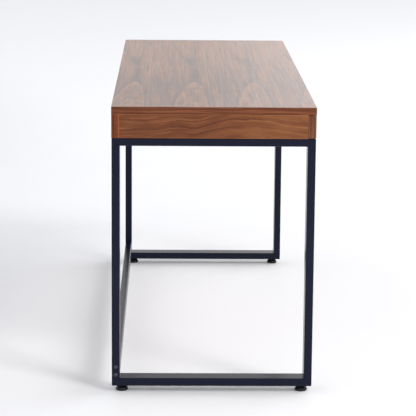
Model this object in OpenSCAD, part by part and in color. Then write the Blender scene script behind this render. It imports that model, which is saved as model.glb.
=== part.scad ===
// Writing desk with two drawers: a veneered board case on a pair of welded steel end frames.
// X runs along the desk, the user sits at the -Y side, Z is up from the floor at 0.

/* [Desk] */
// Length of the desk top, left to right
desk_l = 1500; // [1300:10:1700]
// Depth of the desk top, front to back
desk_w = 500; // [480:10:600]
// Height of the desk top above the floor
desk_h = 720; // [680:5:780]

/* [Case] */
// Height of the case that holds the drawers, with its top panel
case_h = 77; // [75:1:95]
// Thickness of the top, end, back and dividing boards
board_t = 18; // [16:1:19]
// Thickness of the board under the drawers
bottom_t = 12; // [12:1:15]
// Distance that the bottom board stays behind the drawer fronts, for the fingers
finger_gap = 37; // [25:1:50]

/* [Drawers] */
// Thickness of a drawer front
front_t = 18; // [15:1:18]
// Distance of a drawer front behind the front edge of the top
front_recess = 0.5; // [0.5:0.5:4]
// Gap between a closed drawer front and the front edges of the case
shadow_gap = 1.5; // [1.5:0.5:4]
// Gap between the two drawer fronts
middle_gap = 3; // [2:0.5:5]
// Thickness of the drawer box's sides, front and back
box_t = 12; // [12:1:15]
// Thickness of the drawer's bottom sheet
sheet_t = 4; // [3:0.5:5]
// Length of a drawer slide, which is also its travel
slide_l = 400; // [350:10:400]

/* [Frame] */
// Width of the frame tube as seen from the end of the desk
tube_w = 20; // [20:1:25]
// Depth of the frame tube along the desk
tube_d = 50; // [50:1:60]
// Wall of the frame tube
wall_t = 1.5; // [1.2:0.1:2]
// Distance of a frame inside the front and back edges of the top
frame_inset = 0.5; // [0:0.5:5]
// Distance of a frame inside the end of the top
frame_setback = 3; // [3:0.5:10]
// Height of the frame's underside above the floor, with the feet screwed in
frame_z = 16.5; // [16:0.5:18]
// Height of the rear stretcher tube
stretcher_h = 30; // [30:1:40]
// Height of the rear stretcher's underside above the floor
stretcher_z = 40; // [40:0.5:60]

/* [Hidden] */
$fn = 48;

walnut = [0.45, 0.29, 0.20];
birch = [0.82, 0.70, 0.52];
beech = [0.80, 0.62, 0.42];
navy_black = [0.10, 0.11, 0.14];
plastic_black = [0.04, 0.04, 0.045];
zinc = [0.68, 0.69, 0.70];

// Case
half_l = desk_l / 2;
half_w = desk_w / 2;
case_z = desk_h - case_h;
top_z = desk_h - board_t;
front_face_y = -half_w + front_recess;
front_back_y = front_face_y + front_t;
case_front_y = front_back_y + shadow_gap;
back_y = half_w - board_t;
end_in_x = half_l - board_t;
end_mid_x = half_l - board_t / 2;
floor_z = case_z + bottom_t;
bottom_front_y = front_back_y + finger_gap;

// Joints of the case: wooden dowels and cam fittings
dowel_r = 4;
thin_dowel_r = 3;
dowel_into = 12;
dowel_out = 15;
cam_r = 7.5;
cam_deep = 12.5;
cam_drop = 24;
cam_bolt_r = 3;
cam_bolt_up = 11;
cam_y = [-180, 100];
dowel_y = [-100, 180];
cam_back_x = [-0.8 * half_l, -0.25 * half_l, 0.25 * half_l, 0.8 * half_l];
bottom_dowel_y = [-100, 80, 205];
bottom_dowel_x = [-0.65 * half_l, -0.3 * half_l, 0.3 * half_l, 0.65 * half_l];
end_dowel_up = 9;
divider_dowel_up = 24;
foot_dowel_z = [-8, 10];
bumper_r = 4;
bumper_in = [10, 12];

// Drawers: the slides fill the space between each box and the case
slide_w = 12.7;
slide_y = case_front_y + 2;
bay_out_x = end_in_x;
bay_in_x = board_t / 2;
box_out_x = bay_out_x - slide_w;
box_in_x = bay_in_x + slide_w;
box_gap_below = 3;
box_gap_above = 4;
box_spare = 10;
box_z = floor_z + box_gap_below;
box_h = top_z - box_gap_above - box_z;
box_back_y = front_back_y + slide_l + box_spare;
slide_z = box_z + box_h / 2;
sheet_z = box_z + 6;
sheet_groove = 6;
box_dowel_in = [18, 8];
box_dowel_into = 8;
box_dowel_out = 20;
front_screw_r = 2;
front_screw_up = 26;
front_screw_into = 11;
screw_head_r = 4;
screw_head_h = 2.2;
front_z = case_z + 1.2;
front_top_z = top_z - 1.6;
front_end_gap = 1;

// Frames
frame_out_y = half_w - frame_inset;
frame_x = half_l - frame_setback;
frame_mid_x = frame_x - tube_d / 2;
leg_mid_y = frame_out_y - tube_w / 2;
tube_r = 2.5;
corner_r = 3;
foot_in = 25;
foot_y = frame_out_y - foot_in;
screw_y = [-160, 0, 160];
bolt_pitch = 20;
plug_deep = 18;
bolt_r = 3;
bolt_hole_r = 3.3;
sleeve_r = 5.5;
sleeve_h = 12;
sleeve_lip = 0.8;
nut_z = 12.5;
nut_h = 2;

module block(lo, hi) {
    translate(lo) cube(hi - lo);
}

// The left half is drawn at -X, and the right half is its mirror image
module on_side(side) {
    if (side == "right") mirror([1, 0, 0]) children();
    else children();
}

module both_sides() {
    on_side("left") children();
    on_side("right") children();
}

// A flat outline with round corners, from lo to hi
module rounded_outline(lo, hi, r) {
    translate([lo[0] + r, lo[1]]) square([hi[0] - lo[0] - 2 * r, hi[1] - lo[1]]);
    translate([lo[0], lo[1] + r]) square([hi[0] - lo[0], hi[1] - lo[1] - 2 * r]);
    for (x = [lo[0] + r, hi[0] - r], y = [lo[1] + r, hi[1] - r])
        translate([x, y]) circle(r = r);
}

module rod_x(x0, x1, y, z, r) {
    translate([x0, y, z]) rotate([0, 90, 0]) cylinder(h = x1 - x0, r = r);
}

module rod_y(y0, y1, x, z, r) {
    translate([x, y1, z]) rotate([90, 0, 0]) cylinder(h = y1 - y0, r = r);
}

module rod_z(z0, z1, x, y, r) {
    translate([x, y, z0]) cylinder(h = z1 - z0, r = r);
}

// ---------- Case ----------

// Every dowel of the case; the boards are bored by the same shapes
module case_dowel_set() {
    both_sides() {
        for (y = dowel_y)
            rod_z(top_z - dowel_out, top_z + dowel_into, -end_mid_x, y, dowel_r);
        rod_y(back_y - dowel_out, back_y + dowel_into, -end_mid_x, floor_z + end_dowel_up,
              dowel_r);
        for (y = bottom_dowel_y)
            rod_x(-end_in_x - dowel_into, -end_in_x + dowel_out, y,
                  case_z + bottom_t / 2, thin_dowel_r);
    }
    for (y = dowel_y) {
        rod_z(top_z - dowel_out, top_z + dowel_into, 0, y, dowel_r);
        rod_z(floor_z + foot_dowel_z[0], floor_z + foot_dowel_z[1], 0, y, thin_dowel_r);
    }
    rod_y(back_y - dowel_out, back_y + dowel_into, 0, floor_z + divider_dowel_up, dowel_r);
    for (x = bottom_dowel_x)
        rod_y(back_y - dowel_out, back_y + dowel_into, x, case_z + bottom_t / 2, thin_dowel_r);
}

// Cam fittings: each cam sits in a board's inner face and pulls on a bolt from the top panel
module cam_lock_set() {
    z = top_z - cam_drop;
    both_sides()
        for (y = cam_y) rod_x(-end_in_x - cam_deep, -end_in_x, y, z, cam_r);
    for (y = cam_y) rod_x(-board_t / 2, -board_t / 2 + cam_deep, y, z, cam_r);
    for (x = cam_back_x) rod_y(back_y, back_y + cam_deep, x, z, cam_r);
}

module cam_bolt_set() {
    z = top_z - cam_drop;
    both_sides()
        for (y = cam_y) rod_z(z, top_z + cam_bolt_up, -end_mid_x, y, cam_bolt_r);
    for (y = cam_y) rod_z(z, top_z + cam_bolt_up, 0, y, cam_bolt_r);
    for (x = cam_back_x) rod_z(z, top_z + cam_bolt_up, x, back_y + board_t / 2, cam_bolt_r);
}

module case_fitting_holes() {
    case_dowel_set();
    cam_lock_set();
    cam_bolt_set();
}

module top_panel() {
    color(walnut) difference() {
        block([-half_l, -half_w, top_z], [half_l, half_w, desk_h]);
        case_fitting_holes();
    }
}

module bottom_panel() {
    color(walnut) difference() {
        block([-end_in_x, bottom_front_y, case_z], [end_in_x, back_y, floor_z]);
        case_dowel_set();
        insert_set(0);
    }
}

module back_panel() {
    color(walnut) difference() {
        block([-half_l, back_y, case_z], [half_l, half_w, top_z]);
        case_fitting_holes();
    }
}

module end_panel(side) {
    color(walnut) on_side(side) difference() {
        block([-half_l, case_front_y, case_z], [-end_in_x, back_y, top_z]);
        case_fitting_holes();
        rail_screw_shanks();
    }
}

// The divider's front edge reaches down in front of the bottom board and closes the finger gap
module centre_divider() {
    color(walnut) difference() {
        union() {
            block([-board_t / 2, case_front_y, floor_z], [board_t / 2, back_y, top_z]);
            block([-board_t / 2, case_front_y, case_z], [board_t / 2, bottom_front_y, floor_z + 1]);
        }
        case_fitting_holes();
        both_sides() rail_screw_shanks();
    }
}

module case_dowels() {
    color(beech) case_dowel_set();
}

module cam_locks() {
    color(zinc) difference() {
        cam_lock_set();
        cam_bolt_set();
    }
}

module cam_bolts() {
    color(zinc) cam_bolt_set();
}

// Soft buffers on the front edges of the case, which the drawer fronts close against
module drawer_bumpers() {
    bumper_t = shadow_gap - 0.3;
    color(plastic_black) both_sides() {
        for (z = [case_z + bumper_in[0], top_z - bumper_in[1]])
            rod_y(case_front_y - bumper_t, case_front_y, -end_mid_x, z, bumper_r);
        rod_y(case_front_y - bumper_t, case_front_y, -board_t / 4 - 0.5,
              top_z - bumper_in[1], bumper_r - 0.5);
    }
}

// ---------- Steel frames ----------

// A rectangular tube along Z, hollow, with its section centred on x and y
module tube_z(x, y, z0, z1, dx, dy) {
    translate([x, y, z0]) linear_extrude(z1 - z0) difference() {
        rounded_outline([-dx / 2, -dy / 2], [dx / 2, dy / 2], tube_r);
        square([dx - 2 * wall_t, dy - 2 * wall_t], center = true);
    }
}

// The frame's outline, with its corners ground round, as a solid one tube deep
module frame_envelope() {
    translate([-frame_x, 0, 0]) rotate([90, 0, 90]) linear_extrude(tube_d)
        rounded_outline([-frame_out_y, frame_z], [frame_out_y, case_z], corner_r);
}

// Wedge that ends a tube of the frame in two mitres; it keeps the +Y leg
module leg_mitre() {
    translate([-frame_x - 1, 0, 0]) rotate([90, 0, 90]) linear_extrude(tube_d + 2)
        polygon([[frame_out_y, frame_z], [frame_out_y, case_z],
                 [frame_out_y - tube_w, case_z - tube_w],
                 [frame_out_y - tube_w, frame_z + tube_w]]);
}

// The same for a rail; up is 1 for the top rail and -1 for the bottom one
module rail_mitre(up) {
    outer = up > 0 ? case_z : frame_z;
    inner = outer - up * tube_w;
    translate([-frame_x - 1, 0, 0]) rotate([90, 0, 90]) linear_extrude(tube_d + 2)
        polygon([[-frame_out_y, outer], [frame_out_y, outer],
                 [frame_out_y - tube_w, inner], [-frame_out_y + tube_w, inner]]);
}

// One leg of the left frame; end is 1 for the back and -1 for the front
module leg(side, end) {
    color(navy_black) on_side(side) difference() {
        intersection() {
            tube_z(-frame_mid_x, end * leg_mid_y, frame_z, case_z, tube_d, tube_w);
            if (end > 0) leg_mitre();
            else mirror([0, 1, 0]) leg_mitre();
            frame_envelope();
        }
        if (end > 0) stretcher_bolt_holes();
    }
}

module rail(side, up) {
    z = up > 0 ? case_z - tube_w / 2 : frame_z + tube_w / 2;
    color(navy_black) on_side(side) difference() {
        intersection() {
            translate([0, 0, z]) rotate([90, 0, 0])
                tube_z(-frame_mid_x, 0, -frame_out_y, frame_out_y, tube_d, tube_w);
            rail_mitre(up);
            frame_envelope();
        }
        if (up > 0)
            for (y = screw_y)
                rod_z(case_z - tube_w - 1, case_z + 1, -frame_mid_x, y, bolt_hole_r);
        else
            for (y = [-foot_y, foot_y])
                rod_z(frame_z - 1, frame_z + 2 * wall_t, -frame_mid_x, y, sleeve_r);
    }
}

module stretcher_bolt_holes() {
    for (dz = [-bolt_pitch / 2, bolt_pitch / 2])
        rod_x(-frame_x - 1, -frame_x + tube_d + 1, leg_mid_y,
              stretcher_z + stretcher_h / 2 + dz, bolt_hole_r);
}

stretcher_in_x = frame_x - tube_d;

module rear_stretcher() {
    color(navy_black) translate([-stretcher_in_x, leg_mid_y, stretcher_z + stretcher_h / 2])
        rotate([0, 90, 0]) linear_extrude(2 * stretcher_in_x) difference() {
            rounded_outline([-stretcher_h / 2, -tube_w / 2], [stretcher_h / 2, tube_w / 2],
                            tube_r);
            square([stretcher_h - 2 * wall_t, tube_w - 2 * wall_t], center = true);
        }
}

// Tapped blocks welded inside the ends of the stretcher
module stretcher_plugs() {
    y0 = leg_mid_y - tube_w / 2 + wall_t;
    y1 = leg_mid_y + tube_w / 2 - wall_t;
    color(zinc) both_sides() difference() {
        block([-stretcher_in_x, y0, stretcher_z + wall_t],
              [-stretcher_in_x + plug_deep, y1, stretcher_z + stretcher_h - wall_t]);
        stretcher_bolt_shanks();
    }
}

module stretcher_bolt_shanks() {
    for (dz = [-bolt_pitch / 2, bolt_pitch / 2])
        rod_x(-frame_x, -stretcher_in_x + plug_deep - 2, leg_mid_y,
              stretcher_z + stretcher_h / 2 + dz, bolt_r);
}

// Button-head socket bolts that pass through each back leg into the stretcher
module stretcher_bolts() {
    color(plastic_black) both_sides() {
        stretcher_bolt_shanks();
        for (dz = [-bolt_pitch / 2, bolt_pitch / 2])
            translate([-frame_x, leg_mid_y, stretcher_z + stretcher_h / 2 + dz])
                rotate([0, -90, 0]) button_head();
    }
}

// A low domed head that rises along +Z from its seat, with a hexagonal socket
module button_head() {
    head_r = 5.2;
    head_h = 2.7;
    difference() {
        rotate_extrude() polygon([[0, 0], [head_r, 0], [head_r, 0.5], [head_r - 0.6, 1.5],
                                  [head_r - 1.8, 2.3], [head_r - 3, head_h], [0, head_h]]);
        translate([0, 0, 1]) cylinder(h = head_h, r = 2.3, $fn = 6);
    }
}

// Screws that pull each top rail up against the case
module frame_screws() {
    color(plastic_black) both_sides() for (y = screw_y)
        translate([-frame_mid_x, y, case_z - tube_w]) {
            cylinder(h = tube_w + 8, r = bolt_r);
            rotate([180, 0, 0]) button_head();
        }
}

// Threaded sleeves in the bottom panel; a bore radius of 0 leaves them solid
module insert_set(bore) {
    both_sides() for (y = screw_y) difference() {
        rod_z(case_z, case_z + 9, -frame_mid_x, y, 5);
        if (bore > 0) rod_z(case_z - 1, case_z + 8, -frame_mid_x, y, bore);
    }
}

module case_inserts() {
    color(zinc) insert_set(bolt_r);
}

// Threaded sleeves in the underside of the bottom rails, which the feet screw into
module foot_inserts() {
    color(zinc) both_sides() for (y = [-foot_y, foot_y])
        translate([-frame_mid_x, y, 0]) difference() {
            union() {
                rod_z(frame_z - sleeve_lip, frame_z, 0, 0, sleeve_r + 2);
                rod_z(frame_z - sleeve_lip, frame_z + sleeve_h, 0, 0, sleeve_r);
            }
            rod_z(frame_z - 2, frame_z + sleeve_h + 1, 0, 0, 4.3);
        }
}

// ---------- Levelling feet ----------

module at_foot(side, end) {
    on_side(side) translate([-frame_mid_x, end * foot_y, 0]) children();
}

module stud_shape() {
    rod_z(6, frame_z + tube_w - wall_t - 1.5, 0, 0, 4);
    translate([0, 0, nut_z]) cylinder(h = nut_h, r = 7.4, $fn = 6);
}

module foot_pad(side, end) {
    color(plastic_black) at_foot(side, end) difference() {
        rotate_extrude() polygon([[0, 0], [12.6, 0], [14.8, 1], [15.8, 2.6], [15.8, 5.6],
                                  [14.8, 7.2], [11.2, nut_z], [0, nut_z]]);
        stud_shape();
    }
}

module foot_stud(side, end) {
    color(zinc) at_foot(side, end) stud_shape();
}

// ---------- Drawer slides ----------
// A slide's section is drawn with u = 0 on the case and u = slide_w on the drawer box

module at_each_slide(side) {
    on_side(side) {
        translate([-bay_out_x, slide_y, slide_z]) children();
        translate([-bay_in_x, slide_y, slide_z]) mirror([1, 0, 0]) children();
    }
}

// A folded steel channel: its web spans u0 to u0 + t, its flanges reach to u1
module channel(u0, u1, half_h, t, length) {
    block([u0, 0, -half_h], [u0 + t, length, half_h]);
    block([u0, 0, half_h - t], [u1, length, half_h]);
    block([u0, 0, -half_h], [u1, length, -half_h + t]);
}

module rail_shape() {
    channel(0, 9.5, 17.5, 1.2, slide_l);
}

module runner_shape() {
    mirror([1, 0, 0]) translate([-slide_w, 0, 0]) channel(0, 5.2, 8.5, 1.2, slide_l);
}

rail_screw_at = [28, 0.45 * slide_l, 0.85 * slide_l];

module screw_u(u0, u1, head_u, y) {
    rod_x(u0, u1, y, 0, 1.75);
    rod_x(head_u[0], head_u[1], y, 0, 3.2);
}

module slide_rails(side) {
    color(zinc) at_each_slide(side) difference() {
        rail_shape();
        for (y = rail_screw_at) rod_x(-1, 2, y, 0, 1.75);
    }
}

module slide_middles(side) {
    color(zinc) at_each_slide(side) channel(4, 11.2, 13, 1.2, slide_l);
}

// A ball cage: a thin channel whose flanges carry the balls between two members
module cage(u0, u1, half_h, y0, length) {
    ball_r = 1.35;
    translate([0, y0, 0]) {
        channel(u0, u1, half_h, 0.7, length);
        for (y = [10 : 20 : length - 5], s = [-1, 1])
            translate([u1 - 2, y, s * (half_h - 0.35)]) sphere(r = ball_r, $fn = 16);
    }
}

module slide_cages(side) {
    cage_l = 0.28 * slide_l;
    color(zinc) at_each_slide(side) {
        cage(2.6, 9, 15, slide_l - cage_l - 12, cage_l);
        cage(5.8, 11, 10.5, 12, cage_l);
    }
}

module slide_runners(side) {
    color(zinc) at_each_slide(side) difference() {
        runner_shape();
        for (y = rail_screw_at) rod_x(slide_w - 2, slide_w + 1, y, 0, 1.75);
    }
}

module rail_screw_shanks() {
    at_each_slide("left") for (y = rail_screw_at) rod_x(-8, 1.2, y, 0, 1.75);
}

module rail_screws() {
    color(zinc) both_sides() at_each_slide("left")
        for (y = rail_screw_at) screw_u(-8, 1.2, [1.2, 2.1], y);
}

module runner_screw_shanks() {
    at_each_slide("left") for (y = rail_screw_at) rod_x(slide_w - 1.2, slide_w + 9, y, 0, 1.75);
}

module drawer_runner_screws(side) {
    color(zinc) at_each_slide(side) for (y = rail_screw_at)
        screw_u(slide_w - 1.2, slide_w + 9, [slide_w - 2.1, slide_w - 1.2], y);
}

// ---------- Drawer boxes ----------

box_front_in_y = front_back_y + box_t;
box_back_in_y = box_back_y - box_t;
front_screw_x = [for (k = [0 : 3]) -box_out_x + 80 + k * (box_out_x - box_in_x - 160) / 3];

module sheet_shape() {
    block([-box_out_x + box_t - sheet_groove, box_front_in_y - sheet_groove, sheet_z],
          [-box_in_x - box_t + sheet_groove, box_back_in_y + sheet_groove, sheet_z + sheet_t]);
}

module box_dowel_set() {
    out_x = -box_out_x + box_t;
    in_x = -box_in_x - box_t;
    for (z = [box_z + box_dowel_in[0], box_z + box_h - box_dowel_in[1]],
         y = [front_back_y + box_t / 2, box_back_y - box_t / 2]) {
        rod_x(out_x - box_dowel_into, out_x + box_dowel_out, y, z, thin_dowel_r);
        rod_x(in_x - box_dowel_out, in_x + box_dowel_into, y, z, thin_dowel_r);
    }
}

module front_screw_set() {
    z = box_z + front_screw_up;
    for (x = front_screw_x) {
        rod_y(front_back_y - front_screw_into, box_front_in_y, x, z, front_screw_r);
        rod_y(box_front_in_y, box_front_in_y + screw_head_h, x, z, screw_head_r);
    }
}

module drawer_front(side) {
    color(walnut) on_side(side) difference() {
        block([-half_l + front_end_gap, front_face_y, front_z],
              [-middle_gap / 2, front_back_y, front_top_z]);
        front_screw_set();
    }
}

module drawer_box_front(side) {
    color(birch) on_side(side) difference() {
        block([-box_out_x + box_t, front_back_y, box_z],
              [-box_in_x - box_t, box_front_in_y, box_z + box_h]);
        sheet_shape();
        box_dowel_set();
        front_screw_set();
    }
}

module drawer_back(side) {
    color(birch) on_side(side) difference() {
        block([-box_out_x + box_t, box_back_in_y, box_z],
              [-box_in_x - box_t, box_back_y, box_z + box_h]);
        sheet_shape();
        box_dowel_set();
    }
}

module drawer_outer_side(side) {
    color(birch) on_side(side) difference() {
        block([-box_out_x, front_back_y, box_z], [-box_out_x + box_t, box_back_y, box_z + box_h]);
        sheet_shape();
        box_dowel_set();
        runner_screw_shanks();
    }
}

module drawer_inner_side(side) {
    color(birch) on_side(side) difference() {
        block([-box_in_x - box_t, front_back_y, box_z], [-box_in_x, box_back_y, box_z + box_h]);
        sheet_shape();
        box_dowel_set();
        runner_screw_shanks();
    }
}

module drawer_bottom(side) {
    color(birch) on_side(side) sheet_shape();
}

module drawer_dowels(side) {
    color(beech) on_side(side) box_dowel_set();
}

module drawer_front_screws(side) {
    color(zinc) on_side(side) front_screw_set();
}

top_panel();
bottom_panel();
back_panel();
end_panel("left");  // left_end_panel
end_panel("right");  // right_end_panel
centre_divider();
case_dowels();
cam_locks();
cam_bolts();
drawer_bumpers();
leg("left", -1);  // left_front_leg
leg("left", 1);  // left_back_leg
rail("left", 1);  // left_top_rail
rail("left", -1);  // left_bottom_rail
leg("right", -1);  // right_front_leg
leg("right", 1);  // right_back_leg
rail("right", 1);  // right_top_rail
rail("right", -1);  // right_bottom_rail
rear_stretcher();
stretcher_plugs();
stretcher_bolts();
frame_screws();
case_inserts();
foot_inserts();
foot_pad("left", -1);  // left_front_foot_pad
foot_stud("left", -1);  // left_front_foot_stud
foot_pad("left", 1);  // left_back_foot_pad
foot_stud("left", 1);  // left_back_foot_stud
foot_pad("right", -1);  // right_front_foot_pad
foot_stud("right", -1);  // right_front_foot_stud
foot_pad("right", 1);  // right_back_foot_pad
foot_stud("right", 1);  // right_back_foot_stud
slide_rails("left");  // left_slide_rails
slide_middles("left");  // left_slide_middles
slide_cages("left");  // left_slide_cages
slide_runners("left");  // left_slide_runners
slide_rails("right");  // right_slide_rails
slide_middles("right");  // right_slide_middles
slide_cages("right");  // right_slide_cages
slide_runners("right");  // right_slide_runners
rail_screws();
drawer_front("left");  // left_drawer_front
drawer_box_front("left");  // left_drawer_box_front
drawer_outer_side("left");  // left_drawer_outer_side
drawer_inner_side("left");  // left_drawer_inner_side
drawer_back("left");  // left_drawer_back
drawer_bottom("left");  // left_drawer_bottom
drawer_dowels("left");  // left_drawer_dowels
drawer_front_screws("left");  // left_drawer_front_screws
drawer_runner_screws("left");  // left_drawer_runner_screws
drawer_front("right");  // right_drawer_front
drawer_box_front("right");  // right_drawer_box_front
drawer_outer_side("right");  // right_drawer_outer_side
drawer_inner_side("right");  // right_drawer_inner_side
drawer_back("right");  // right_drawer_back
drawer_bottom("right");  // right_drawer_bottom
drawer_dowels("right");  // right_drawer_dowels
drawer_front_screws("right");  // right_drawer_front_screws
drawer_runner_screws("right");  // right_drawer_runner_screws
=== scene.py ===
"""Looks of the writing desk: walnut veneer, powder-coated steel, drawer boxes, slides and feet."""

import math

import bmesh
import bpy
from mathutils import Euler, Matrix, Vector


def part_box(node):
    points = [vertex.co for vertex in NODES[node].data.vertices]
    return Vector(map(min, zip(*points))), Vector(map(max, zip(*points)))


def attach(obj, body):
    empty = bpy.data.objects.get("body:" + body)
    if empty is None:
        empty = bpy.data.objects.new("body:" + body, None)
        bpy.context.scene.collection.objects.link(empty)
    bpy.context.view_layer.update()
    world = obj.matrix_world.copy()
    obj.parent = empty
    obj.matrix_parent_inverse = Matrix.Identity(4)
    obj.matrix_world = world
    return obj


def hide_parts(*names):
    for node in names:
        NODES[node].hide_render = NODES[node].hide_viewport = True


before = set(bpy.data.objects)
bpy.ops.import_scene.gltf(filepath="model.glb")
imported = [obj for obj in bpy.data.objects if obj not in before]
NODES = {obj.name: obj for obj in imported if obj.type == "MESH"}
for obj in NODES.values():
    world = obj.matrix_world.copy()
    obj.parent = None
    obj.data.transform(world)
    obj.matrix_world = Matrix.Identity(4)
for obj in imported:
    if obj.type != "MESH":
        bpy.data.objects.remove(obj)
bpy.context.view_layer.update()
SIDES = ("left", "right")

# ---------------------------------------------------------------- places taken from the frame

TOP_LO, TOP_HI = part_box("top_panel")
HALF_L = TOP_HI.x
TOP_UNDER_Z = TOP_LO.z
CASE_UNDER_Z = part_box("bottom_panel")[0].z


# ---------------------------------------------------------------- camera, light and floor

KEY_WHITE = (1.0, 0.97, 0.92)
SOFT_BOX_WHITE = (1.0, 0.985, 0.96)
ROOM_WHITE = (0.955, 0.968, 1.0)
BAND_WHITE = (1.0, 0.965, 0.950)
FLOOR_SHADED = (0.832, 0.840, 0.868)
FLOOR_LIT = (0.935, 0.940, 0.955)


def make_camera():
    """A long lens at the left end of the desk, looking along it and slightly down."""
    distance, aside, height = 5.383, 0.105, 1.386
    yaw, pitch, roll = 1.137, 11.173, 0.484
    data = bpy.data.cameras.new("camera")
    data.sensor_width = 36
    data.lens = 166.8
    camera = bpy.data.objects.new("camera", data)
    bpy.context.collection.objects.link(camera)
    turn = Euler((math.radians(90 - pitch), 0, math.radians(-90 - yaw))).to_matrix().to_4x4()
    lean = Matrix.Rotation(math.radians(roll), 4, "Z")
    camera.matrix_world = Matrix.Translation((-distance, aside, height)) @ turn @ lean
    bpy.context.scene.camera = camera


def add_lamp(name, data, travel):
    """Adds a lamp whose light travels in the given direction."""
    lamp = bpy.data.objects.new(name, data)
    bpy.context.collection.objects.link(lamp)
    lamp.rotation_euler = Vector(travel).to_track_quat("-Z", "Y").to_euler()
    return lamp


def area_light(name, place, aim, size, watts, colour=(1, 1, 1)):
    """A soft box that lights the desk and isn't mirrored in it."""
    data = bpy.data.lights.new(name, "AREA")
    data.shape = "RECTANGLE"
    data.size, data.size_y = size
    data.energy = watts
    data.color = colour
    lamp = add_lamp(name, data, Vector(aim) - Vector(place))
    lamp.location = place
    lamp.visible_glossy = False


def sky_glow(t, direction):
    """The room as seen from the desk: pale walls, a dimmer ceiling, and a bright band ahead.

    Returns how bright it is, and where the band ahead lies.
    """
    wall_glow, band_left, band_gain = 0.95, 0.96, 0.53
    ceiling_low, ceiling_high, ceiling_ahead = 1.52, 0.30, 0.84
    x, y, z = t.split(direction)
    ahead = t.smooth(x, 0.20, 0.88)
    low = t.smooth(z, 0.31, 0.18)
    band = t.math("MULTIPLY_ADD", t.smooth(y, 0.0, -0.085), band_gain, band_left)
    wall = t.lerp(ahead, wall_glow, band)
    ceiling = t.smooth(z, 0.30, 1.0, ceiling_low, ceiling_high)
    ceiling = t.lerp(t.smooth(x, 0.55, 0.85), ceiling, ceiling_ahead)
    return t.lerp(low, ceiling, wall), t.math("MULTIPLY", low, ahead)


def make_studio():
    """A white studio: a soft key light, a wide soft box on the right, and a pale floor."""
    world = bpy.data.worlds.new("studio")
    bpy.context.scene.world = world
    world.use_nodes = True
    t = Tree(world.node_tree)
    glow, band = sky_glow(t, t.coordinates("Generated"))
    background = t.find("ShaderNodeBackground")
    t.link(t.mix(band, ROOM_WHITE, BAND_WHITE), background.inputs["Color"])
    t.link(glow, background.inputs["Strength"])

    key = bpy.data.lights.new("key", "SUN")
    key.energy = 0.78
    key.angle = math.radians(17)
    key.color = KEY_WHITE
    add_lamp("key", key, (0.57, 0.57, -0.59))
    area_light("right_box", place=(2.5, -5.6, 3.2), aim=(1.5, 0, 0), size=(8.0, 3.4), watts=225,
               colour=SOFT_BOX_WHITE)
    area_light("near_box", place=(-2.6, -1.8, 1.2), aim=(-2.1, -0.8, 0), size=(1.0, 1.0),
               watts=26)

    mesh = bpy.data.meshes.new("floor")
    half = 30
    mesh.from_pydata([(-half, -half, 0), (half, -half, 0), (half, half, 0), (-half, half, 0)],
                     [], [(0, 1, 2, 3)])
    floor = bpy.data.objects.new("floor", mesh)
    bpy.context.collection.objects.link(floor)
    floor.data.materials.append(floor_paint())
    bpy.context.scene.view_settings.view_transform = "Standard"


# ---------------------------------------------------------------- a short way to write node trees

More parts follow.
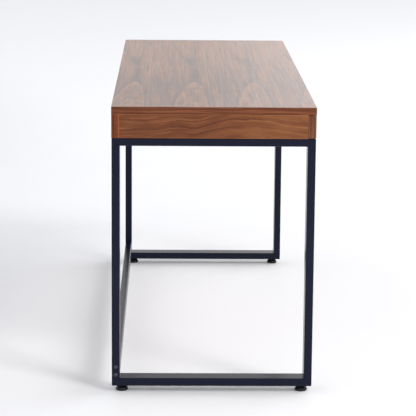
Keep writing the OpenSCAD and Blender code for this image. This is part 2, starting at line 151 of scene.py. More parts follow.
class Tree:
    """Adds nodes to a tree; sockets, numbers and colours can all be given as inputs."""

    def __init__(self, node_tree):
        self.nt = node_tree

    def add(self, kind, **settings):
        node = self.nt.nodes.new(kind)
        for key, value in settings.items():
            setattr(node, key, value)
        return node

    def find(self, kind):
        return next(n for n in self.nt.nodes if n.bl_idname == kind)

    def link(self, value, socket):
        if isinstance(value, bpy.types.NodeSocket):
            self.nt.links.new(value, socket)
        elif hasattr(socket.default_value, "__len__") and len(socket.default_value) == 4:
            socket.default_value = (*value, 1)
        else:
            socket.default_value = value

    def coordinates(self, kind):
        return self.add("ShaderNodeTexCoord").outputs[kind]

    def math(self, operation, a, b=0.0, c=0.0):
        node = self.add("ShaderNodeMath", operation=operation)
        for socket, value in zip(node.inputs, (a, b, c)):
            self.link(value, socket)
        return node.outputs[0]

    def total(self, *values):
        out = values[0]
        for value in values[1:]:
            out = self.math("ADD", out, value)
        return out

    def product(self, *values):
        out = values[0]
        for value in values[1:]:
            out = self.math("MULTIPLY", out, value)
        return out

    def weigh(self, *parts):
        """The sum of each value times its weight."""
        return self.total(*(self.math("MULTIPLY", value, weight) for value, weight in parts))

    def lerp(self, factor, a, b):
        """a where the factor is 0, b where it is 1."""
        return self.math("MULTIPLY_ADD", self.math("SUBTRACT", b, a), factor, a)

    def swing(self, value, amount, base):
        """The base, moved up or down by amount times how far the value is from a half."""
        return self.math("MULTIPLY_ADD", self.math("SUBTRACT", value, 0.5), amount, base)

    def round_vee(self, value, soft):
        """The value's size, with the kink at 0 rounded over a width of soft."""
        root = self.math("SQRT", self.math("MULTIPLY_ADD", value, value, soft ** 2))
        return self.math("SUBTRACT", root, soft)

    def split(self, vector):
        node = self.add("ShaderNodeSeparateXYZ")
        self.link(vector, node.inputs[0])
        return node.outputs

    def join(self, x, y, z):
        node = self.add("ShaderNodeCombineXYZ")
        for socket, value in zip(node.inputs, (x, y, z)):
            self.link(value, socket)
        return node.outputs[0]

    def smooth(self, value, lo, hi, out_lo=0.0, out_hi=1.0):
        node = self.add("ShaderNodeMapRange", interpolation_type="SMOOTHSTEP")
        for socket, item in zip(node.inputs, (value, lo, hi, out_lo, out_hi)):
            self.link(item, socket)
        return node.outputs[0]

    def line(self, field, centre, half_width):
        """1 on a soft line where the field equals centre, 0 away from it."""
        away = self.math("ABSOLUTE", self.math("SUBTRACT", field, centre))
        return self.smooth(away, half_width, 0.3 * half_width)

    def bell(self, value, centre, width):
        off = self.math("DIVIDE", self.math("SUBTRACT", value, centre), width)
        return self.math("EXPONENT", self.product(off, off, -1.0))

    def noise(self, vector, scale, detail=2.0, roughness=0.5):
        node = self.add("ShaderNodeTexNoise")
        self.link(vector, node.inputs["Vector"])
        node.inputs["Scale"].default_value = scale
        node.inputs["Detail"].default_value = detail
        node.inputs["Roughness"].default_value = roughness
        return node.outputs[0]

    def grain(self, along, per_m_along, across, per_m_across, depth, detail=2.0, roughness=0.5):
        """Noise drawn out along the grain, with the given number of grains per metre each way."""
        vector = self.join(self.math("MULTIPLY", along, per_m_along),
                           self.math("MULTIPLY", across, per_m_across), depth)
        return self.noise(vector, 1.0, detail, roughness)

    def mix(self, factor, a, b, blend="MIX"):
        node = self.add("ShaderNodeMix", data_type="RGBA", blend_type=blend)
        node.clamp_factor = True
        self.link(factor, node.inputs[0])
        self.link(a, node.inputs[6])
        self.link(b, node.inputs[7])
        return node.outputs[2]

    def ramp(self, factor, stops):
        node = self.add("ShaderNodeValToRGB")
        elements = node.color_ramp.elements
        while len(elements) < len(stops):
            elements.new(0.5)
        for element, (place, colour) in zip(elements, stops):
            element.position = place
            element.color = (*colour, 1)
        self.link(factor, node.inputs[0])
        return node.outputs[0]

    def bump(self, height, distance, strength=1.0):
        node = self.add("ShaderNodeBump")
        node.inputs["Distance"].default_value = distance
        node.inputs["Strength"].default_value = strength
        self.link(height, node.inputs["Height"])
        return node.outputs[0]


def new_material(name):
    """A material with a Principled shader; returns it with its tree, shader and object place."""
    material = bpy.data.materials.new(name)
    material.use_nodes = True
    t = Tree(material.node_tree)
    shader = t.find("ShaderNodeBsdfPrincipled")
    return material, t, shader, t.coordinates("Object")


def floor_paint():
    """A pale floor, with painted light that makes it a little lighter on the right and far away."""
    material, t, shader, place = new_material("floor_paint")
    speck = t.math("MULTIPLY", t.noise(place, 3.0, 3.0), 0.3)
    x, y, z = t.split(place)
    # painted light: the floor colour grows lighter towards the right and far away
    on_right = t.smooth(y, 1.2, 0.2, 0.0, 0.7)
    far = t.smooth(x, 2.5, 7.5, 0.0, 1.1)
    t.link(t.mix(t.total(speck, on_right, far), FLOOR_SHADED, FLOOR_LIT),
           shader.inputs["Base Color"])
    shader.inputs["Roughness"].default_value = 0.55
    return material


# ---------------------------------------------------------------- walnut
#
# A figure is a pair: how light the wood is, about 0.5 on average, and its fibres. Lengths in a
# figure are metres, and depth moves the noise on, so that no two boards look alike.

WALNUT_DARK = (0.062, 0.0175, 0.0068)
WALNUT_MID = (0.140, 0.0425, 0.0142)
WALNUT_LIGHT = (0.262, 0.0970, 0.0340)
PORE_SHADE = (0.45, 0.40, 0.38)
LACQUER_IOR = 1.31
LACQUER_ROUGHNESS = 0.14

TOP_CONTRAST = 2.3
TOP_BAND_TINT = (0.98, 0.90, 0.96)
TOP_BAND_SHIFT = -0.03
END_PANEL_CONTRAST = 0.72
END_PANEL_DEPTH = {"left": 1.7, "right": 3.9}
BOARD_END_CONTRAST = 1.6
BACK_END_TINT = (0.95, 0.68, 0.54)
FRONT_END_TINT = (0.80, 0.84, 0.94)
INNER_CONTRAST = 0.7

FACING_PART = 0.72

LEAF_PITCH = 0.157
FIRST_LEAF_Y = 0.197
HEART_RING = 0.0600


def fibres(t, along, across, depth):
    """Fine streaks, open pores and the broader swell of the grain, each from 0 to 1."""
    streak = t.grain(along, 4.0, across, 240.0, depth, 4.0, 0.62)
    pore = t.grain(along, 55.0, across, 1500.0, depth)
    swell = t.grain(along, 2.5, across, 105.0, depth, 1.0)
    return streak, t.smooth(pore, 0.60, 0.72), swell


def leaf_rings(t, along, beside, depth, sway):
    """The rings of a leaf, as distance from the log's heart, and the distance to its middle.

    The heart lies deepest below the leaf at the waist, and drifts aside away from lean_from.
    """
    lean, lean_from, lean_soft = 0.034, 0.600, 0.10
    drift = t.round_vee(t.math("SUBTRACT", along, lean_from), lean_soft)
    aside = t.swing(sway, -0.012, t.math("MULTIPLY_ADD", drift, lean, beside))

    waist_x, waist_soft, waist_height = 0.690, 0.06, 0.0675
    fall, tilt = 0.03075, 0.01275
    off = t.math("SUBTRACT", along, waist_x)
    height = t.math("MULTIPLY_ADD", t.round_vee(off, waist_soft), -fall, waist_height)
    height = t.math("MULTIPLY_ADD", off, tilt, height)

    rings = t.math("SQRT", t.math("MULTIPLY_ADD", aside, aside, t.product(height, height)))
    wobble = t.grain(along, 12.0, beside, 70.0, depth, 3.0, 0.6)
    return t.swing(wobble, t.smooth(along, 0.5, 0.9, 0.0028, 0.0060), rings), aside


def leaf_marks(t, along, beside, rings, aside, sway, slow, cloud, mottle):
    """What stands out in a leaf: pale hearts with rims, the dark eye between them, and a stripe."""
    heart = t.product(t.smooth(rings, HEART_RING, 0.0588), t.swing(mottle, 0.35, 0.015))

    past = t.smooth(rings, 0.0597, 0.0606)
    middle = t.smooth(t.math("ABSOLUTE", aside), 0.015, 0.003)
    patchy = t.smooth(cloud, 0.36, 0.56, 0.35, 1.0)
    faded = t.math("MULTIPLY_ADD", t.bell(along, 0.790, 0.080), -0.85, 1.0)
    eye = t.product(past, middle, patchy, faded, t.smooth(along, 1.04, 0.94))

    near = t.smooth(along, 0.60, 0.50)
    rim = t.product(t.line(rings, 0.0615, 0.0017), near)
    glow = t.product(t.line(rings, 0.0586, 0.0016), near)
    far_rim = t.product(t.line(rings, 0.0655, 0.0020), t.smooth(along, 0.84, 0.90))
    inner_rim = t.line(rings, 0.0446, 0.0013)
    flank = t.product(t.smooth(rings, HEART_RING, 0.0640), t.bell(along, 0.55, 0.40))

    bent = t.swing(sway, 0.006, beside)
    stripe = t.product(t.line(bent, 0.034, 0.0026), t.smooth(slow, 0.30, 0.60))
    shade = t.line(bent, 0.0385, 0.0020)
    return t.weigh((heart, 1.0), (eye, -0.42), (rim, -0.12), (glow, 0.12), (far_rim, -0.08),
                   (inner_rim, 0.09), (flank, -0.05), (stripe, 0.12), (shade, -0.10))


def leaf_figure(t, along, across):
    """Crown-cut leaves of veneer laid side by side: arches that meet in a dark waist."""
    turn = t.math("DIVIDE", t.math("SUBTRACT", FIRST_LEAF_Y, across), LEAF_PITCH)
    count = t.math("FLOOR", t.math("ADD", turn, 0.5))
    beside = t.math("MULTIPLY", t.math("SUBTRACT", turn, count), LEAF_PITCH)
    depth = t.math("MULTIPLY", count, 0.11)
    along = t.math("MULTIPLY_ADD", count, 0.004, along)

    sway = t.grain(along, 2.2, beside, 6.0, depth)
    rings, aside = leaf_rings(t, along, beside, depth, sway)
    slow = t.grain(rings, 110.0, along, 0.8, depth, 2.0, 0.6)
    fine = t.grain(rings, 330.0, along, 1.6, depth, 3.0, 0.65)
    cloud = t.grain(along, 6.0, across, 36.0, 0.0, 4.0, 0.65)
    broad = t.grain(along, 2.0, across, 9.0, 7.0)
    strand = t.grain(along, 3.0, beside, 130.0, depth, 2.0, 0.7)
    mottle = t.grain(along, 22.0, across, 75.0, depth, 3.0, 0.6)
    tone = t.total(t.weigh((slow, 0.16), (fine, 0.26), (cloud, 0.20), (broad, 0.12),
                           (strand, 0.42), (mottle, 0.24)),
                   -0.20, t.smooth(along, 0.40, 0.70, 0.0, 0.06),
                   leaf_marks(t, along, beside, rings, aside, sway, slow, cloud, mottle))
    return tone, fibres(t, along, across, depth)


def climb(t, along):
    """How far the grain of an end panel climbs above level: a low wave, then one broad hump."""
    wave = t.math("MULTIPLY", t.bell(along, 0.090, 0.032), 0.0080)
    up_side = t.smooth(along, 0.085, -0.060, 0.0, 0.0265)
    down_side = t.smooth(along, -0.095, -0.240, 1.0, 0.40)
    return t.math("MULTIPLY_ADD", up_side, down_side, wave)


def hump_figure(t, along, up, depth):
    """Grain of an end panel: level at the back, then over a hump, with a few dark streaks, and
    painted light that makes it lighter towards the front.
    """
    sway = t.grain(along, 20.0, up, 45.0, depth, 3.0, 0.6)
    field = t.swing(sway, 0.014, t.math("SUBTRACT", up, climb(t, along)))
    slow = t.grain(field, 110.0, along, 4.0, depth, 2.0, 0.6)
    fine = t.grain(field, 480.0, along, 9.0, depth, 2.0, 0.6)
    patch = t.grain(along, 16.0, field, 70.0, depth + 2.0)

    strength = t.smooth(patch, 0.35, 0.62, 0.15, 1.0)
    main = t.product(t.line(field, 0.021, 0.0034), strength,
                     t.smooth(along, 0.180, 0.120, 0.45, 1.0))
    low = t.product(t.line(field, 0.004, 0.0024), t.smooth(along, 0.085, 0.055))
    high = t.product(t.line(field, 0.044, 0.0022), t.smooth(along, 0.120, 0.160))
    twin = t.product(t.line(field, 0.0125, 0.0026), t.bell(along, 0.105, 0.035))
    crest = t.product(t.line(field, 0.0172, 0.0020), t.smooth(along, -0.045, -0.085))
    # painted light: the panel is painted lighter towards the front, the side nearer the lamps
    front_painted_light = t.smooth(along, 0.02, -0.17, 0.0, 0.14)
    tone = t.weigh((slow, 0.28), (fine, 0.34), (patch, 0.38), (main, -0.22), (low, -0.12),
                   (high, -0.17), (twin, -0.15), (crest, 0.12), (front_painted_light, 1.0))
    return tone, fibres(t, along, field, depth)


def level_figure(t, along, up, depth, rise=0.0, centre=0.0, width=1.0):
    """Grain that runs level, with a low swell at centre where rise is more than 0."""
    sway = t.grain(along, 6.0, up, 26.0, depth, 3.0)
    field = t.swing(sway, 0.012, up)
    if rise:
        field = t.math("MULTIPLY_ADD", t.bell(along, centre, width), -rise, field)
    slow = t.grain(field, 150.0, along, 3.0, depth, 2.0, 0.6)
    fine = t.grain(field, 520.0, along, 7.0, depth, 2.0, 0.6)
    return t.weigh((fine, 0.4), (slow, 0.6)), fibres(t, along, field, depth)


def blend_figures(t, factor, a, b):
    """Uses figure b where factor is 1."""
    return t.lerp(factor, a[0], b[0]), [t.lerp(factor, p, q) for p, q in zip(a[1], b[1])]


def edge_distance(t, place, node):
    """How far a point on a board's surface lies from the board's nearest edge, in metres."""
    away = []
    for value, lo, hi in zip(t.split(place), *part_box(node)):
        middle, half = (lo + hi) / 2, (hi - lo) / 2
        away.append(t.math("SUBTRACT", half, t.math("ABSOLUTE", t.math("SUBTRACT", value, middle))))
    a, b, c = away
    return t.math("MAXIMUM", t.math("MINIMUM", a, b),
                  t.math("MINIMUM", t.math("MAXIMUM", a, b), c))


def finish_walnut(t, shader, figure, tint=None, contrast=1.0, wear_and_highlight=None, dull=None):
    """Colour, sheen and relief of lacquered walnut.

    tint is (where, colour); wear_and_highlight is a board's distance to its edges, where the
    colour is lightened, partly as wear and partly as a painted highlight; dull is where the
    lacquer is thin and matt.
    """
    figure_gain, streak_gain = 1.9, 0.95
    highlight_wear_from, highlight_wear_to, highlight_wear_gain = 0.0016, 0.0004, 0.28
    tone, (streak, pore, swell) = figure
    tone = t.swing(tone, t.math("MULTIPLY", contrast, figure_gain), 0.5)
    tone = t.swing(streak, t.math("MULTIPLY", contrast, streak_gain), tone)
    roughness = [(streak, 0.14), (pore, 0.06)]
    if wear_and_highlight is not None:
        # lighter edges: partly wear, partly a painted highlight where the eased edges catch the
        # light
        worn_and_highlit = t.smooth(wear_and_highlight, highlight_wear_from, highlight_wear_to)
        tone = t.math("MULTIPLY_ADD", worn_and_highlit, highlight_wear_gain, tone)
        roughness.append((worn_and_highlit, 0.08))
    if dull is not None:
        roughness.append((dull, 0.6))
    colour = t.ramp(tone, [(0.05, WALNUT_DARK), (0.50, WALNUT_MID), (0.95, WALNUT_LIGHT)])
    if tint is not None:
        colour = t.mix(tint[0], colour, tint[1], "MULTIPLY")
    colour = t.mix(t.math("MULTIPLY", pore, 0.55), colour, PORE_SHADE, "MULTIPLY")
    t.link(colour, shader.inputs["Base Color"])
    t.link(t.math("ADD", t.weigh(*roughness), LACQUER_ROUGHNESS), shader.inputs["Roughness"])
    shader.inputs["IOR"].default_value = LACQUER_IOR
    relief = t.weigh((pore, -0.30), (streak, 0.12), (swell, 2.4))
    t.link(t.bump(relief, 0.00015, 0.9), shader.inputs["Normal"])


def facing(t, axis, either_way=True):
    """1 on faces of the piece that look along the given axis, either way or only forwards."""
    part = t.split(t.coordinates("Normal"))["XYZ".index(axis)]
    if either_way:
        part = t.math("ABSOLUTE", part)
    return t.math("GREATER_THAN", part, FACING_PART)


def top_walnut():
    """Cathedral leaves on the top face, edge bands with level grain round the sides."""
    material, t, shader, place = new_material("top_walnut")
    x, y, z = t.split(place)
    end_face, long_face = facing(t, "X"), facing(t, "Y")
    side = t.math("MAXIMUM", end_face, long_face)
    leaves = leaf_figure(t, t.math("ADD", x, HALF_L), y)

    band_tone, band_fibres = level_figure(t, y, z, 2.3)
    # painted shade: a dark line along the lower edge of the top's end band, deepening towards +Y,
    # away from the lamps
    under_edge_painted_shade = t.product(t.line(z, TOP_UNDER_Z + 0.0012, 0.0022),
                           t.smooth(y, -0.2, 0.1, 0.0, -0.14))
    end_band = t.math("ADD", band_tone, under_edge_painted_shade), band_fibres
    figure = blend_figures(t, end_face, leaves, end_band)
    tone, grain = blend_figures(t, long_face, figure, level_figure(t, x, z, 5.1))
    tone = t.math("MULTIPLY_ADD", side, TOP_BAND_SHIFT, tone)
    finish_walnut(t, shader, (tone, grain), tint=(side, TOP_BAND_TINT),
                  contrast=t.lerp(side, TOP_CONTRAST, 1.0))
    return material


def end_walnut(name, node, depth):
    """Level grain that climbs over one hump on the end panels."""
    material, t, shader, place = new_material(name)
    x, y, z = t.split(place)
    faces = hump_figure(t, y, t.math("SUBTRACT", z, CASE_UNDER_Z), depth)
    edges = level_figure(t, z, y, depth + 3)
    finish_walnut(t, shader, blend_figures(t, facing(t, "Y"), faces, edges),
                  contrast=END_PANEL_CONTRAST, wear_and_highlight=edge_distance(t, place, node))
    return material


def long_walnut(name, node, depth, centre, end_tint, matt_inside=False):
    """The back panel and the drawer fronts: level grain, with upright bands on the ends."""
    material, t, shader, place = new_material(name)
    x, y, z = t.split(place)
    end_face = facing(t, "X")
    faces = level_figure(t, x, t.math("SUBTRACT", z, CASE_UNDER_Z), depth, 0.030, centre, 0.24)
    ends = level_figure(t, z, y, depth + 7)
    dull = facing(t, "Y", either_way=False) if matt_inside else None
    finish_walnut(t, shader, blend_figures(t, end_face, faces, ends), tint=(end_face, end_tint),
                  contrast=t.lerp(end_face, 1.0, BOARD_END_CONTRAST),
                  wear_and_highlight=edge_distance(t, place, node), dull=dull)
    return material


def inner_walnut():
    """Plain veneer on the bottom board and the divider."""
    material, t, shader, place = new_material("inner_walnut")
    x, y, z = t.split(place)
    finish_walnut(t, shader, level_figure(t, x, y, 9.1), contrast=INNER_CONTRAST)
    return material


# ---------------------------------------------------------------- other woods

PLY_DARK, PLY_MID, PLY_LIGHT = (0.45, 0.30, 0.16), (0.62, 0.45, 0.27), (0.72, 0.56, 0.37)
BEECH_DARK, BEECH_LIGHT = (0.42, 0.24, 0.12), (0.62, 0.42, 0.24)


def birch_ply():
    """Pale drawer-box plywood with its plies showing as lines on the cut edges."""
    material, t, shader, place = new_material("birch_ply")
    x, y, z = t.split(place)
    streak = t.grain(x, 4.0, y, 4.0, t.math("MULTIPLY", z, 320.0), 3.0, 0.55)
    cloud = t.grain(x, 5.0, y, 5.0, t.math("MULTIPLY", z, 3.0))
    tone = t.weigh((streak, 0.7), (cloud, 0.16))
    t.link(t.ramp(tone, [(0.20, PLY_DARK), (0.45, PLY_MID), (0.7, PLY_LIGHT)]),
           shader.inputs["Base Color"])
    t.link(t.math("MULTIPLY_ADD", streak, 0.12, 0.42), shader.inputs["Roughness"])
    t.link(t.bump(streak, 0.00006, 0.7), shader.inputs["Normal"])
    return material


def beech():
    """Turned dowels with fine flecks."""
    material, t, shader, place = new_material("beech")
    fleck = t.noise(place, 700.0, 3.0)
    t.link(t.ramp(fleck, [(0.3, BEECH_DARK), (0.7, BEECH_LIGHT)]), shader.inputs["Base Color"])
    shader.inputs["Roughness"].default_value = 0.6
    t.link(t.bump(fleck, 0.0001), shader.inputs["Normal"])
    return material


# ---------------------------------------------------------------- metal, plastic and rubber

COAT_DARK, COAT_LIGHT = (0.0020, 0.0035, 0.0138), (0.0044, 0.0064, 0.0195)
COAT_RUBBED = (0.020, 0.022, 0.028)
COAT_IOR = 1.26
PLASTIC_DARK, PLASTIC_LIGHT = (0.004, 0.004, 0.006), (0.010, 0.010, 0.013)
PLASTIC_IOR = 1.36
RUBBER_BLACK = (0.020, 0.019, 0.018, 1)
OXIDE_DARK, OXIDE_LIGHT = (0.050, 0.056, 0.070), (0.090, 0.098, 0.118)
ZINC_DARK, ZINC_LIGHT = (0.50, 0.51, 0.54), (0.68, 0.69, 0.71)
CAST_DARK, CAST_LIGHT = (0.36, 0.35, 0.33), (0.50, 0.49, 0.46)


def powder_coat():
    """Near-black powder coat with a blue cast and a fine orange peel, thinner on the corners."""
    material, t, shader, place = new_material("powder_coat")
    parts = [t.math("ABSOLUTE", part) for part in t.split(t.coordinates("Normal"))]
    squareness = t.math("MAXIMUM", parts[0], t.math("MAXIMUM", parts[1], parts[2]))
    corner = t.smooth(squareness, 0.98, 0.80)
    peel = t.noise(place, 700.0)
    cloud = t.noise(place, 14.0)
    rub = t.product(corner, t.smooth(t.noise(place, 60.0, 4.0, 0.65), 0.45, 0.70))
    film = t.mix(cloud, COAT_DARK, COAT_LIGHT)
    t.link(t.mix(t.math("MULTIPLY", rub, 0.5), film, COAT_RUBBED), shader.inputs["Base Color"])
    shader.inputs["IOR"].default_value = COAT_IOR
    rough = t.math("MULTIPLY_ADD", peel, 0.08, 0.20)
    t.link(t.math("MULTIPLY_ADD", rub, 0.08, rough), shader.inputs["Roughness"])
    t.link(t.bump(peel, 0.00004, 0.5), shader.inputs["Normal"])
    return material


def foot_plastic():
    """Black moulded plastic with a fine grain."""
    material, t, shader, place = new_material("foot_plastic")
    grain = t.noise(place, 1500.0)
    shade = t.noise(place, 90.0, 3.0)
    t.link(t.mix(shade, PLASTIC_DARK, PLASTIC_LIGHT), shader.inputs["Base Color"])
    shader.inputs["IOR"].default_value = PLASTIC_IOR
    t.link(t.math("MULTIPLY_ADD", grain, 0.14, 0.20), shader.inputs["Roughness"])
    t.link(t.bump(grain, 0.00005, 0.5), shader.inputs["Normal"])
    return material


def rubber():
    """Matt black rubber."""
    material, t, shader, place = new_material("rubber")
    grain = t.noise(place, 2200.0)
    shader.inputs["Base Color"].default_value = RUBBER_BLACK
    t.link(t.math("MULTIPLY_ADD", grain, 0.2, 0.65), shader.inputs["Roughness"])
    t.link(t.bump(grain, 0.00008), shader.inputs["Normal"])
    return material


def plated(name, dark, light, roughness):
    """Plated or oxidised metal with drawing marks and faint blotches."""
    material, t, shader, place = new_material(name)
    x, y, z = t.split(place)
    marks = t.grain(x, 900.0, y, 14.0, t.math("MULTIPLY", z, 900.0))
    blotch = t.noise(place, 120.0, 3.0)
    t.link(t.mix(blotch, dark, light), shader.inputs["Base Color"])
    shader.inputs["Metallic"].default_value = 1.0
    t.link(t.math("MULTIPLY_ADD", marks, 0.16, roughness), shader.inputs["Roughness"])
    t.link(t.bump(marks, 0.00003, 0.6), shader.inputs["Normal"])
    return material


# ---------------------------------------------------------------- dressing the CAD nodes

TOP_EASE = 0.0006
PANEL_EASE = 0.0010
FRONT_EASE = 0.0008
INNER_EASE = 0.0004
PLY_EASE = 0.0005


def dress(node, material, ease=0.0):
    """Gives a CAD node its material, and rounds its edges a little where ease is more than 0."""
    thing = NODES[node]
    for slot in thing.material_slots:
        slot.material = material
    if ease:
        weld = thing.modifiers.new("weld", "WELD")
        weld.merge_threshold = 0.00001
        bevel = thing.modifiers.new("eased_edge", "BEVEL")
        bevel.width = ease
        bevel.segments = 2
        bevel.limit_method = "ANGLE"
        bevel.angle_limit = math.radians(40)
        bevel.harden_normals = True


def dress_case():
    dress("top_panel", top_walnut(), TOP_EASE)
    dress("back_panel", long_walnut("back_walnut", "back_panel", 6.3, -0.2, BACK_END_TINT),
          PANEL_EASE)
    for side in SIDES:
        panel, front = side + "_end_panel", side + "_drawer_front"
        dress(panel, end_walnut(side + "_end_walnut", panel, END_PANEL_DEPTH[side]), PANEL_EASE)
        dress(front, long_walnut(side + "_front_walnut", front, 4.4, 0.15, FRONT_END_TINT,
                                 matt_inside=True), FRONT_EASE)
    inner = inner_walnut()
    dress("bottom_panel", inner, INNER_EASE)
    dress("centre_divider", inner, INNER_EASE)


def dress_frames(coat):
    for side in SIDES:
        for name in ("front_leg", "back_leg", "top_rail", "bottom_rail"):
            dress(f"{side}_{name}", coat)
    dress("rear_stretcher", coat)


def dress_drawers():
    ply, wood = birch_ply(), beech()
    dress("case_dowels", wood)
    dress("drawer_bumpers", rubber())
    for side in SIDES:
        for name in ("box_front", "outer_side", "inner_side", "back", "bottom"):
            dress(f"{side}_drawer_{name}", ply, PLY_EASE)
        dress(f"{side}_drawer_dowels", wood)


def dress_hardware(zinc):
    cast = plated("cast_zinc", CAST_DARK, CAST_LIGHT, 0.40)
    for name in ("cam_locks", "cam_bolts"):
        dress(name, cast)
    for name in ("stretcher_plugs", "case_inserts", "foot_inserts", "rail_screws"):
        dress(name, zinc)
    for side in SIDES:
        for name in ("slide_rails", "slide_middles", "slide_cages", "slide_runners",
                     "drawer_front_screws", "drawer_runner_screws"):
            dress(f"{side}_{name}", zinc)


# ---------------------------------------------------------------- turned and welded pieces
#
# A profile is a list of steps (radius, height, hexagonal). On a hexagonal step the radius is to
# the flats. Thread depth and crest are shares of the pitch.

LATHE_SIDES = 36
THREAD_DEPTH, THREAD_CREST_FROM, THREAD_CREST_TO = 0.6, 0.45, 0.60

STUD_R, STUD_LOW_Z, STUD_PITCH = 0.004, 0.006, 0.00125
COLLAR_Z, COLLAR_H, COLLAR_EASE = 0.0125, 0.002, 0.0004
COLLAR_FLAT, COLLAR_LOW_R, COLLAR_TOP_R = 0.0064, 0.0059, 0.0058
PAD_OUTLINE = ((0.0100, 0.0005), (0.0118, 0.0), (0.0128, 0.0), (0.0140, 0.0004),
               (0.0150, 0.0012), (0.0156, 0.0022), (0.0158, 0.0034), (0.0158, 0.0050),
               (0.0155, 0.0061), (0.0149, 0.0071), (0.0141, 0.0083), (0.0132, 0.0098),
               (0.0124, 0.0110), (0.0117, 0.0119), (0.0108, 0.0125))

BOLT_R, BOLT_PITCH, BOLT_SHANK, BOLT_RUNOUT = 0.003, 0.001, 0.004, 0.0005
BOLT_HEAD_R, BOLT_HEAD_H = 0.0052, 0.0027
BOLT_HEAD_OUTLINE = ((0.0050, 0.0), (BOLT_HEAD_R, 0.0002), (BOLT_HEAD_R, 0.0006),
                     (0.0049, 0.0012), (0.0043, 0.0018), (0.0036, 0.0023), (0.0029, 0.0026),
                     (0.0025, BOLT_HEAD_H))
SOCKET_FLAT, SOCKET_RIM_Z, SOCKET_FLOOR_Z = 0.00199, 0.0025, 0.0010
LEG_BOLT_PAST_PLUG = 0.016

WELD_LEG, WELD_ROOT, WELD_INSET = 0.0015, 0.0002, 0.003
WELD_RIPPLE, WELD_RIPPLE_SHARE, WELD_HOLLOW = 0.0016, 0.09, 0.22
WELD_END_SHARE, WELD_TAPER = 0.35, 0.003
WELD_STEP, WELD_ARC = 0.0005, 4


def turned(*outline):
    return [(radius, height, False) for radius, height in outline]


def hexagon(*outline):
    return [(flat, height, True) for flat, height in outline]


def thread(radius, start, end, pitch):
    """The profile of a thread: crests at the full radius between deeper roots."""
    root = radius - THREAD_DEPTH * pitch
    steps = turned((root, start))
    for k in range(int((end - start) / pitch)):
        low = start + k * pitch
        steps += turned((radius, low + THREAD_CREST_FROM * pitch),
                        (radius, low + THREAD_CREST_TO * pitch), (root, low + pitch))
    return steps


def close_tube(bm, rows):
    """Joins rows of vertices into a tube with closed ends."""
    for low, high in zip(rows, rows[1:]):
        for k in range(len(low)):
            after = (k + 1) % len(low)
            bm.faces.new((low[k], low[after], high[after], high[k]))
    bm.faces.new(rows[0][::-1])
    bm.faces.new(rows[-1])


def lathe(bm, profile, place):
    """Adds a turned solid to bm."""
    rows = []
    for radius, height, hexagonal in profile:
        row = []
        for k in range(LATHE_SIDES):
            turn = 2 * math.pi * k / LATHE_SIDES
            reach = radius
            if hexagonal:
                reach = radius / math.cos(turn % (math.pi / 3) - math.pi / 6)
            row.append(bm.verts.new(place @ Vector((reach * math.cos(turn),
                                                    reach * math.sin(turn), height))))
        rows.append(row)
    close_tube(bm, rows)


def make_piece(name, bm, material, slot, body, *nodes):
    """Turns bm into a smooth-shaded piece that rides on a body and stands for the given nodes."""
    bmesh.ops.recalc_face_normals(bm, faces=bm.faces)
    mesh = bpy.data.meshes.new(name)
    bm.to_mesh(mesh)
    bm.free()
    mesh.shade_smooth()
    mesh.set_sharp_from_angle(angle=math.radians(38))
    mesh.materials.append(material)
    piece = bpy.data.objects.new(name, mesh)
    bpy.context.collection.objects.link(piece)
    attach(piece, body)
    if nodes:
        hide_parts(*nodes)


def make_feet(plastic, zinc):
    """Moulded pads with a rolled rim, and threaded studs with a hexagonal collar."""
    collar_top = COLLAR_Z + COLLAR_H
    collar = (turned((COLLAR_LOW_R, COLLAR_Z))
              + hexagon((COLLAR_FLAT, COLLAR_Z + COLLAR_EASE),
                        (COLLAR_FLAT, collar_top - COLLAR_EASE))
              + turned((COLLAR_TOP_R, collar_top)))
    for side in SIDES:
        for end in ("front", "back"):
            foot = f"{side}_{end}_foot"
            lo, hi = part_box(foot + "_pad")
            place = Matrix.Translation(((lo.x + hi.x) / 2, (lo.y + hi.y) / 2, 0))
            bm = bmesh.new()
            lathe(bm, turned(*PAD_OUTLINE), place)
            make_piece(foot + "_moulded_pad", bm, plastic, "foot_plastic", foot, foot + "_pad")
            bm = bmesh.new()
            stud_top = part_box(foot + "_stud")[1].z
            lathe(bm, thread(STUD_R, STUD_LOW_Z, stud_top, STUD_PITCH), place)
            lathe(bm, collar, place)
            make_piece(foot + "_threaded_stud", bm, zinc, "zinc_steel", foot, foot + "_stud")


def button_bolt(length):
    """A threaded bolt with a domed head and a hexagonal socket, seated at height 0."""
    return (thread(BOLT_R, -length, -BOLT_SHANK, BOLT_PITCH)
            + turned((BOLT_R, BOLT_RUNOUT - BOLT_SHANK), (BOLT_R, 0.0), *BOLT_HEAD_OUTLINE)
            + hexagon((SOCKET_FLAT, SOCKET_RIM_Z), (SOCKET_FLAT, SOCKET_FLOOR_Z)))


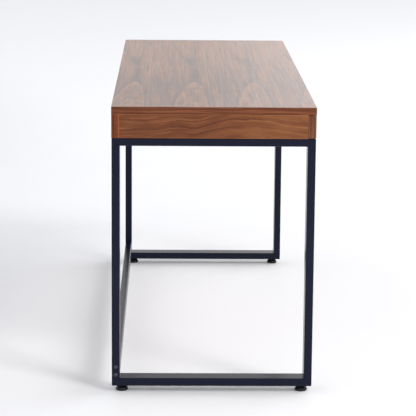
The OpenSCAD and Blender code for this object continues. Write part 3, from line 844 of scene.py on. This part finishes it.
def make_bolts(black):
    """The bolts through the back legs, and the screws up through the top rails."""
    leg_face_x = abs(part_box("left_back_leg")[0].x)
    lo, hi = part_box("stretcher_bolts")
    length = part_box("stretcher_plugs")[0].x + leg_face_x + LEG_BOLT_PAST_PLUG
    bm = bmesh.new()
    for sign in (-1, 1):
        for z in (lo.z + BOLT_HEAD_R, hi.z - BOLT_HEAD_R):
            place = Matrix.Translation((sign * leg_face_x, (lo.y + hi.y) / 2, z))
            lathe(bm, button_bolt(length),
                  place @ Matrix.Rotation(math.radians(90 * sign), 4, "Y"))
    make_piece("leg_bolts", bm, black, "black_fastener", "desk", "stretcher_bolts")

    lo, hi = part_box("frame_screws")
    seat = lo.z + BOLT_HEAD_H
    bm = bmesh.new()
    for x in (lo.x + BOLT_HEAD_R, hi.x - BOLT_HEAD_R):
        for y in (lo.y + BOLT_HEAD_R, (lo.y + hi.y) / 2, hi.y - BOLT_HEAD_R):
            place = Matrix.Translation((x, y, seat)) @ Matrix.Rotation(math.pi, 4, "X")
            lathe(bm, button_bolt(hi.z - seat), place)
    make_piece("rail_bolts", bm, black, "black_fastener", "desk", "frame_screws")


def weld_bead(bm, start_x, end_x, corner_y, corner_z, to_y, to_z):
    """A rippled fillet along X in the corner of two tubes; to_y and to_z say which way it faces."""
    rows = []
    count = int((end_x - start_x) / WELD_STEP)
    for k in range(count + 1):
        x = start_x + (end_x - start_x) * k / count
        taper = min(1.0, WELD_END_SHARE + min(k, count - k) * WELD_STEP / WELD_TAPER)
        ripple = 1 + WELD_RIPPLE_SHARE * abs(math.sin(math.pi * x / WELD_RIPPLE))
        row = [bm.verts.new((x, corner_y - to_y * WELD_ROOT, corner_z - to_z * WELD_ROOT))]
        for a in range(WELD_ARC + 1):
            turn = math.pi / 2 * a / WELD_ARC
            reach = WELD_LEG * taper * ripple * (1 - WELD_HOLLOW * math.sin(2 * turn))
            row.append(bm.verts.new((x, corner_y + to_y * reach * math.cos(turn),
                                     corner_z + to_z * reach * math.sin(turn))))
        rows.append(row)
    close_tube(bm, rows)


def make_welds(coat):
    """Small fillet welds in the four inner corners of each frame."""
    for side in SIDES:
        tube_lo, tube_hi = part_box(side + "_top_rail")
        low_rail_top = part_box(side + "_bottom_rail")[1].z
        bm = bmesh.new()
        for leg, to_y in ((side + "_front_leg", 1), (side + "_back_leg", -1)):
            lo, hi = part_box(leg)
            inner_y = hi.y if to_y > 0 else lo.y
            for corner_z, to_z in ((tube_lo.z, -1), (low_rail_top, 1)):
                weld_bead(bm, tube_lo.x + WELD_INSET, tube_hi.x - WELD_INSET, inner_y, corner_z,
                          to_y, to_z)
        make_piece(side + "_frame_welds", bm, coat, "powder_coated_steel", "desk")


# ---------------------------------------------------------------- the whole scene

make_camera()
make_studio()
coat = powder_coat()
zinc = plated("bright_zinc", ZINC_DARK, ZINC_LIGHT, 0.24)
dress_case()
dress_frames(coat)
dress_drawers()
dress_hardware(zinc)
make_feet(foot_plastic(), zinc)
make_bolts(plated("black_oxide", OXIDE_DARK, OXIDE_LIGHT, 0.26))
make_welds(coat)
